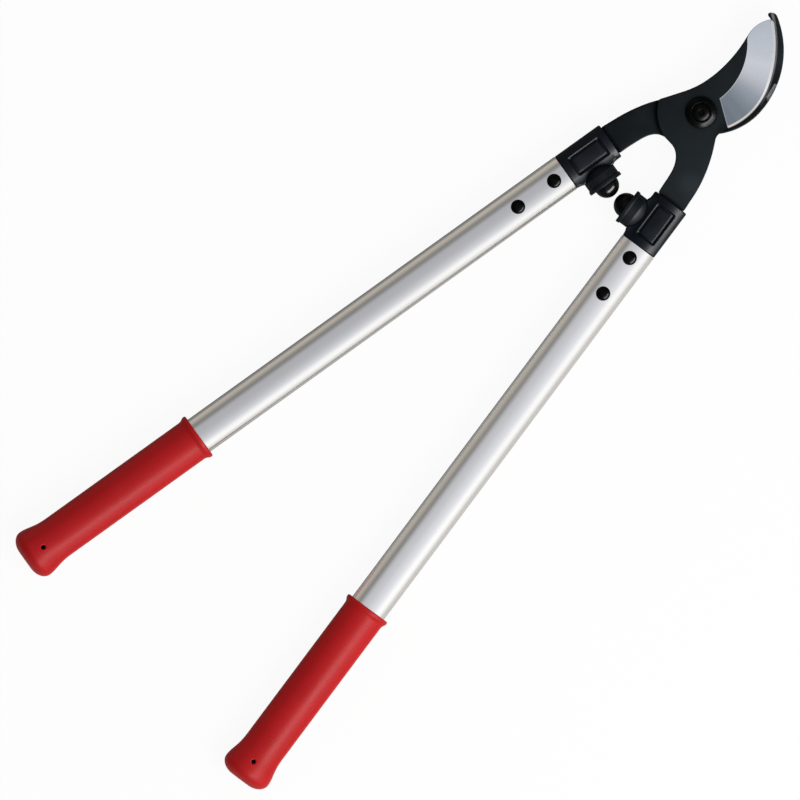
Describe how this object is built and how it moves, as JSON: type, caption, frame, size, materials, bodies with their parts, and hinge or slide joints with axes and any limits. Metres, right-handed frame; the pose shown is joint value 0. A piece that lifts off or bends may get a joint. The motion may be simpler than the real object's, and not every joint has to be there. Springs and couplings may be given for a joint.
{
  "type": "bypass loppers",
  "caption": "Long-handled bypass loppers: a ground cutting blade passes a curved hook on one pivot, with oval aluminium handles, rubber stop buffers and soft red grips.",
  "frame": {"origin": "on the pivot axis, at the flat end of the pivot bolt, which is on the plane the tool rests on when laid down", "axes": "+Z along the pivot axis, towards the side with the round pivot head and the cutting blade; +Y from the pivot towards the blade tips, along the line midway between the closed handles; +X towards the handle of the cutting blade"},
  "size_m": [0.2442, 0.6332, 0.0269],
  "materials": {
    "blade_steel": "satin black coating, with a bare ground face beside the cutting edge",
    "hook_black": "satin black coating",
    "fastener_black": "semi-gloss black oxide",
    "fastener_zinc": "bright zinc plating",
    "collar_nylon": "fine moulded grain",
    "cup_nylon": "fine moulded grain",
    "buffer_rubber": "smooth, slightly glossy",
    "tube_aluminium": "lengthwise brushed, clear anodised",
    "plug_plastic": "matt",
    "grip_red": "satin soft vinyl"
  },
  "bodies": {
    "hook_side": {"hook_blade": "hook_black", "pivot_bolt": "fastener_black", "pivot_washer": "fastener_zinc", "pivot_lock_washer": "fastener_zinc", "pivot_nut": "fastener_zinc", "left_collar": "collar_nylon", "left_buffer_cup": "cup_nylon", "left_tube": "tube_aluminium", "left_rivets": "fastener_black", "left_tube_plug": "plug_plastic", "left_grip": "grip_red"},
    "blade_side": {"cutting_blade": "blade_steel", "right_collar": "collar_nylon", "right_buffer_cup": "cup_nylon", "right_tube": "tube_aluminium", "right_rivets": "fastener_black", "right_tube_plug": "plug_plastic", "right_grip": "grip_red"},
    "left_buffer": {"left_buffer": "buffer_rubber"},
    "right_buffer": {"right_buffer": "buffer_rubber"}
  },
  "joints": [
    {"name": "blade_pivot", "type": "hinge", "parent": "hook_side", "child": "blade_side", "pos_m": [0, 0, 0.0135], "axis": [0, 0, 1], "range_deg": [-1.3, 65]},
    {"name": "left_buffer_press", "type": "slide", "parent": "hook_side", "child": "left_buffer", "axis": [-0.9882, 0.153, 0], "range_m": [0, 0.0015], "stiffness_N_per_m": 800},
    {"name": "right_buffer_press", "type": "slide", "parent": "blade_side", "child": "right_buffer", "axis": [0.9882, 0.153, 0], "range_m": [0, 0.0015], "stiffness_N_per_m": 800}
  ]
}
